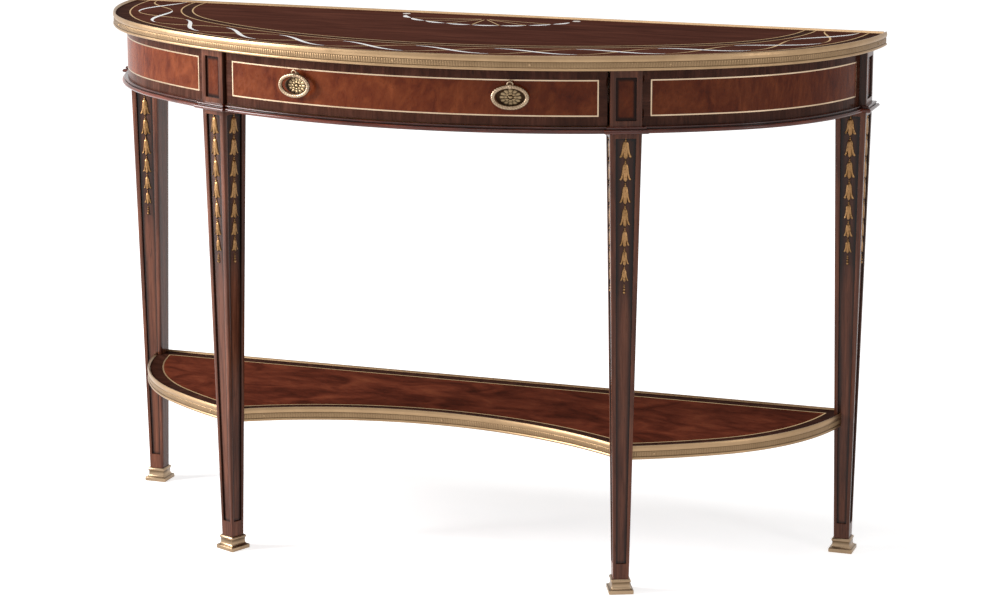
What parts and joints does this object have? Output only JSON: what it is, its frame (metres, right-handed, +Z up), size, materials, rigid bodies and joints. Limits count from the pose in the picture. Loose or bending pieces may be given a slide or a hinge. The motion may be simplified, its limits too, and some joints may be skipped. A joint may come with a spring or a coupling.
{
  "type": "demilune console table",
  "caption": "Half-oval console table with an inlaid brass-edged top, a bowed drawer with ring pulls, tapered legs in brass shoes and a hollow-fronted low shelf.",
  "frame": {"origin": "on the floor, under the middle of the top's bounding box", "axes": "+Z up, +X to the viewer's right, -Y towards the bowed front, +Y towards the straight back"},
  "size_m": [1.4, 0.5, 0.905],
  "materials": {
    "mahogany_legs": "polished mahogany",
    "mahogany_flame_veneer": "polished figured mahogany veneer",
    "mahogany_top": "high polish mahogany veneer",
    "dark_crossband": "polished dark crossbanding",
    "mahogany_shelf": "polished mahogany veneer",
    "carcass_wood": "plain sanded hardwood",
    "pearl_inlay": "polished shell",
    "steel_fixings": "plain steel",
    "brass": "satin brass, lightly aged"
  },
  "bodies": {
    "table": {"back_rail": "carcass_wood", "base_moulding_front": "mahogany_legs", "base_moulding_left": "mahogany_legs", "base_moulding_right": "mahogany_legs", "bellflowers_front_left": "brass", "bellflowers_front_right": "brass", "bellflowers_rear_left": "brass", "bellflowers_rear_right": "brass", "edge_pins": "brass", "frieze_left": "mahogany_flame_veneer", "frieze_right": "mahogany_flame_veneer", "frieze_strings": "brass", "kicker_left": "carcass_wood", "kicker_right": "carcass_wood", "leg_capitals": "mahogany_legs", "leg_front_left": "mahogany_legs", "leg_front_right": "mahogany_legs", "leg_rear_left": "mahogany_legs", "leg_rear_right": "mahogany_legs", "loose_tenons": "carcass_wood", "lower_rail": "carcass_wood", "runner_left": "carcass_wood", "runner_right": "carcass_wood", "sabot_front_left": "brass", "sabot_front_right": "brass", "sabot_rear_left": "brass", "sabot_rear_right": "brass", "shelf_dowels": "carcass_wood", "shelf_edge_back": "brass", "shelf_edge_front": "brass", "shelf_edge_left": "brass", "shelf_edge_right": "brass", "shelf_panel": "mahogany_shelf", "shelf_string": "brass", "top_blocks": "carcass_wood", "top_border_veneer": "dark_crossband", "top_brass_inlay": "brass", "top_dark_band": "dark_crossband", "top_edge_back": "brass", "top_edge_front": "brass", "top_field_veneer": "mahogany_top", "top_panel": "mahogany_top", "top_pearl_inlay": "pearl_inlay", "top_ribbon_veneer": "mahogany_top", "top_screws": "steel_fixings", "top_strings": "brass", "upper_rail": "carcass_wood"},
    "drawer": {"drawer_front": "mahogany_flame_veneer", "drawer_side_left": "carcass_wood", "drawer_side_right": "carcass_wood", "drawer_back": "carcass_wood", "drawer_bottom": "carcass_wood", "drawer_string": "brass", "pull_rosettes": "brass", "pull_knuckles": "brass", "pull_nuts": "steel_fixings"},
    "pull_ring_left": {"pull_ring_left": "brass"},
    "pull_ring_right": {"pull_ring_right": "brass"}
  },
  "joints": [
    {"name": "drawer_slide", "type": "slide", "parent": "table", "child": "drawer", "axis": [0, -1, 0], "range_m": [0, 0.25]},
    {"name": "pull_ring_left_swing", "type": "hinge", "parent": "drawer", "child": "pull_ring_left", "pos_m": [-0.18702, -0.21525, 0.8533], "axis": [-0.978, 0.2088, 0], "range_deg": [-5, 120]},
    {"name": "pull_ring_right_swing", "type": "hinge", "parent": "drawer", "child": "pull_ring_right", "pos_m": [0.18702, -0.21525, 0.8533], "axis": [-0.978, -0.2088, 0], "range_deg": [-5, 120]}
  ]
}
